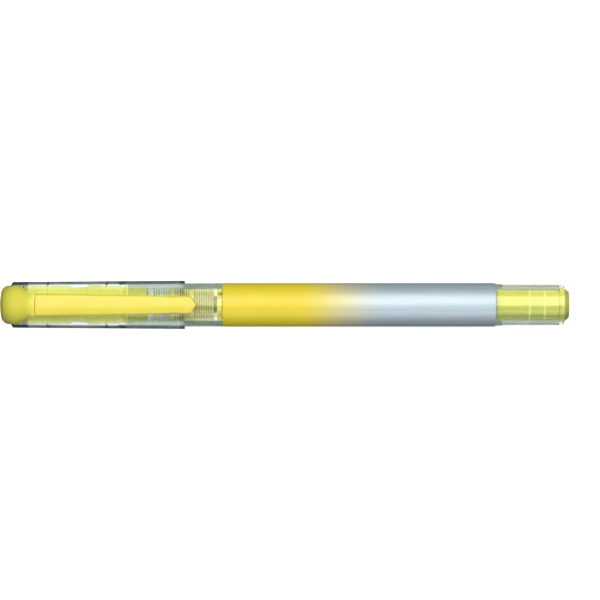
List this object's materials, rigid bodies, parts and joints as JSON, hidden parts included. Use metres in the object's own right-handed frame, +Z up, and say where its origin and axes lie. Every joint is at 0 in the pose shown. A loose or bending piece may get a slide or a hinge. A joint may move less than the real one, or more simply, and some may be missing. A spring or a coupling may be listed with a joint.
{
  "type": "liquid-ink marker pen",
  "caption": "Capped liquid-ink marker with a clear cap and barrel, a coloured clip, a finned ink collector in view, a printed film round the ink tank and a chisel nib.",
  "frame": {"origin": "bottom centre of the whole pen with the cap seated, on the surface it lies on", "axes": "+X along the pen from the cap's crown to the tail, +Z up through the clip, +Y across"},
  "size_m": [0.142, 0.0122, 0.0147],
  "materials": {
    "clear_barrel": "clear, polished",
    "printed_film": "yellow fading to metallic silver, gloss",
    "yellow_plastic": "gloss",
    "nib_fibre": "porous, matte",
    "clear_window": "clear, polished",
    "core_fibre": "bonded fibre, matte",
    "collector_plastic": "natural white, satin",
    "stopper_plastic": "satin",
    "ink": "fluorescent liquid",
    "plug_plastic": "gloss",
    "clear_cap": "clear, polished",
    "inner_cap_plastic": "translucent, satin",
    "clip_plastic": "gloss"
  },
  "bodies": {
    "pen": {"barrel": "clear_barrel", "barrel_film": "printed_film", "grip_section": "yellow_plastic", "nib": "nib_fibre", "nib_window": "clear_window", "feed_core": "core_fibre", "collector": "collector_plastic", "tank_stopper": "stopper_plastic", "ink_charge": "ink", "tail_plug": "plug_plastic"},
    "cap": {"cap_tube": "clear_cap", "inner_cap": "inner_cap_plastic", "cap_crown": "clip_plastic"},
    "clip": {"clip_arm": "clip_plastic"}
  },
  "joints": [
    {"name": "cap_pull", "type": "slide", "parent": "pen", "child": "cap", "axis": [-1, 0, 0], "range_m": [0, 0.06]},
    {"name": "clip_flex", "type": "hinge", "parent": "cap", "child": "clip", "pos_m": [-0.06183, 0, 0.01466], "axis": [0, -1, 0], "range_deg": [0, 5], "stiffness_Nm_per_rad": 1.5}
  ]
}
